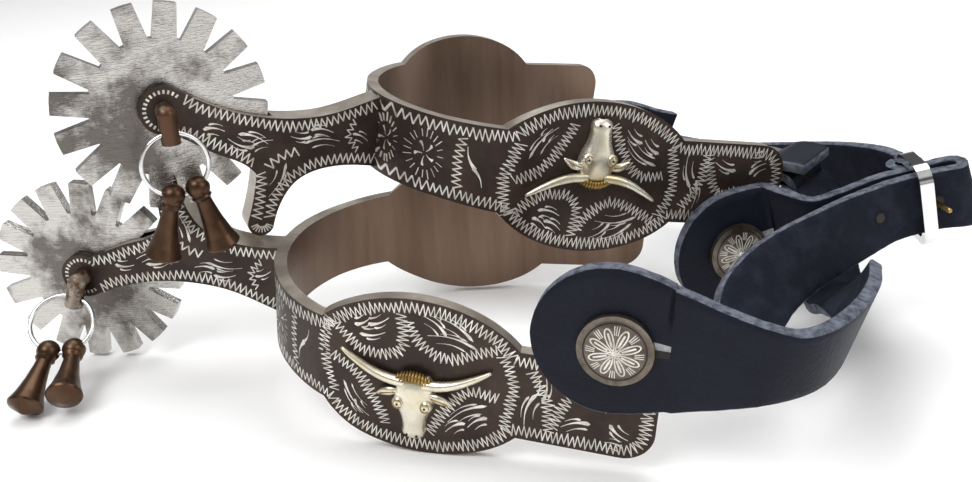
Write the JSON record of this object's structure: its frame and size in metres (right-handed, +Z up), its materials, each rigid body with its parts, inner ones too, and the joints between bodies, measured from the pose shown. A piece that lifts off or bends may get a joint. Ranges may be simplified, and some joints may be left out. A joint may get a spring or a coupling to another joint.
{
  "type": "pair of western spurs",
  "caption": "Two engraved western spurs with toothed rowels, jingle bobs, steer-head ornaments and buckled leather straps, one lying upside down on the other.",
  "frame": {"origin": "on the ground plane under the middle of the pair's bounding box", "axes": "+Z up, +X from the rowels towards the straps' loops, +Y away from the front"},
  "size_m": [0.2526, 0.1772, 0.0955],
  "materials": {
    "engraved_silver": "dark antiqued steel, engraved through to bright metal",
    "rowel_steel": "worn brushed steel with fine scratches",
    "pin_brown": "browned steel, worn bright at the bend",
    "german_silver": "cast nickel silver, lightly polished",
    "button_silver": "antiqued silver with an engraved flower",
    "ring_steel": "bright wire",
    "bob_brown": "browned satin steel",
    "buckle_chrome": "bright plated",
    "prong_brass": "plain brass",
    "strap_leather": "dark navy grained leather, paler flesh side and edges"
  },
  "bodies": {
    "lower_spur": {"lower_heel_band": "engraved_silver", "lower_shank": "engraved_silver", "lower_longhorn_front": "german_silver", "lower_longhorn_rear": "german_silver", "lower_button_front": "button_silver", "lower_button_rear": "button_silver", "lower_strap_front": "strap_leather", "lower_strap_rear": "strap_leather", "lower_buckle_frame": "buckle_chrome"},
    "upper_spur": {"upper_heel_band": "engraved_silver", "upper_shank": "engraved_silver", "upper_longhorn_front": "german_silver", "upper_longhorn_rear": "german_silver", "upper_button_front": "button_silver", "upper_button_rear": "button_silver", "upper_strap_front": "strap_leather", "upper_strap_rear": "strap_leather", "upper_buckle_frame": "buckle_chrome"},
    "lower_rowel": {"lower_rowel": "rowel_steel"},
    "lower_rowel_pin": {"lower_rowel_pin": "pin_brown"},
    "lower_jingle_ring": {"lower_jingle_ring": "ring_steel"},
    "lower_jingle_bob_left": {"lower_jingle_bob_left": "bob_brown"},
    "lower_jingle_bob_right": {"lower_jingle_bob_right": "bob_brown"},
    "lower_buckle_prong": {"lower_buckle_prong": "prong_brass"},
    "upper_rowel": {"upper_rowel": "rowel_steel"},
    "upper_rowel_pin": {"upper_rowel_pin": "pin_brown"},
    "upper_jingle_ring": {"upper_jingle_ring": "ring_steel"},
    "upper_jingle_bob_left": {"upper_jingle_bob_left": "bob_brown"},
    "upper_jingle_bob_right": {"upper_jingle_bob_right": "bob_brown"},
    "upper_buckle_prong": {"upper_buckle_prong": "prong_brass"}
  },
  "joints": [
    {"name": "upper_spur_lift", "type": "slide", "parent": "lower_spur", "child": "upper_spur", "axis": [0, 0, 1], "range_m": [0, 0.15]},
    {"name": "lower_rowel_turn", "type": "hinge", "parent": "lower_spur", "child": "lower_rowel", "pos_m": [-0.10155, -0.00541, 0.02547], "axis": [-0.1373, -0.9904, -0.0156], "continuous": true},
    {"name": "lower_rowel_pin_turn", "type": "hinge", "parent": "lower_spur", "child": "lower_rowel_pin", "pos_m": [-0.10155, -0.00541, 0.02547], "axis": [-0.1373, -0.9904, -0.0156], "range_deg": [-3, 3]},
    {"name": "lower_jingle_ring_turn", "type": "hinge", "parent": "lower_rowel_pin", "child": "lower_jingle_ring", "pos_m": [-0.1041, -0.01266, 0.02112], "axis": [0.9325, -0.1239, -0.3394], "range_deg": [-5, 5]},
    {"name": "lower_jingle_bob_left_turn", "type": "hinge", "parent": "lower_jingle_ring", "child": "lower_jingle_bob_left", "pos_m": [-0.10912, -0.02337, 0.01125], "axis": [0.9325, -0.1239, -0.3394], "range_deg": [-6, 6]},
    {"name": "lower_jingle_bob_right_turn", "type": "hinge", "parent": "lower_jingle_ring", "child": "lower_jingle_bob_right", "pos_m": [-0.10307, -0.02236, 0.01091], "axis": [0.8741, 0.4238, 0.2373], "range_deg": [-6, 6]},
    {"name": "lower_buckle_prong_turn", "type": "hinge", "parent": "lower_spur", "child": "lower_buckle_prong", "pos_m": [0.08758, 0.00648, 0.03529], "axis": [0.6921, 0.7126, 0.115], "range_deg": [0, 5]},
    {"name": "upper_rowel_turn", "type": "hinge", "parent": "upper_spur", "child": "upper_rowel", "pos_m": [-0.07171, -0.01616, 0.07073], "axis": [0.3794, -0.9248, -0.0274], "continuous": true},
    {"name": "upper_rowel_pin_turn", "type": "hinge", "parent": "upper_spur", "child": "upper_rowel_pin", "pos_m": [-0.07171, -0.01616, 0.07073], "axis": [0.3794, -0.9248, -0.0274], "range_deg": [-3, 3]},
    {"name": "upper_jingle_ring_turn", "type": "hinge", "parent": "upper_rowel_pin", "child": "upper_jingle_ring", "pos_m": [-0.06888, -0.02307, 0.06603], "axis": [0.9252, 0.3795, 0], "range_deg": [-5, 2]},
    {"name": "upper_jingle_bob_left_turn", "type": "hinge", "parent": "upper_jingle_ring", "child": "upper_jingle_bob_left", "pos_m": [-0.07064, -0.02334, 0.05083], "axis": [0.8991, 0.3755, -0.2249], "range_deg": [-6, 6]},
    {"name": "upper_jingle_bob_right_turn", "type": "hinge", "parent": "upper_jingle_ring", "child": "upper_jingle_bob_right", "pos_m": [-0.06514, -0.02112, 0.05187], "axis": [0.7816, 0.3045, 0.5444], "range_deg": [-6, 6]},
    {"name": "upper_buckle_prong_turn", "type": "hinge", "parent": "upper_spur", "child": "upper_buckle_prong", "pos_m": [0.11093, -0.01102, 0.03723], "axis": [-0.2019, 0, 0.9794], "range_deg": [0, 5]}
  ]
}
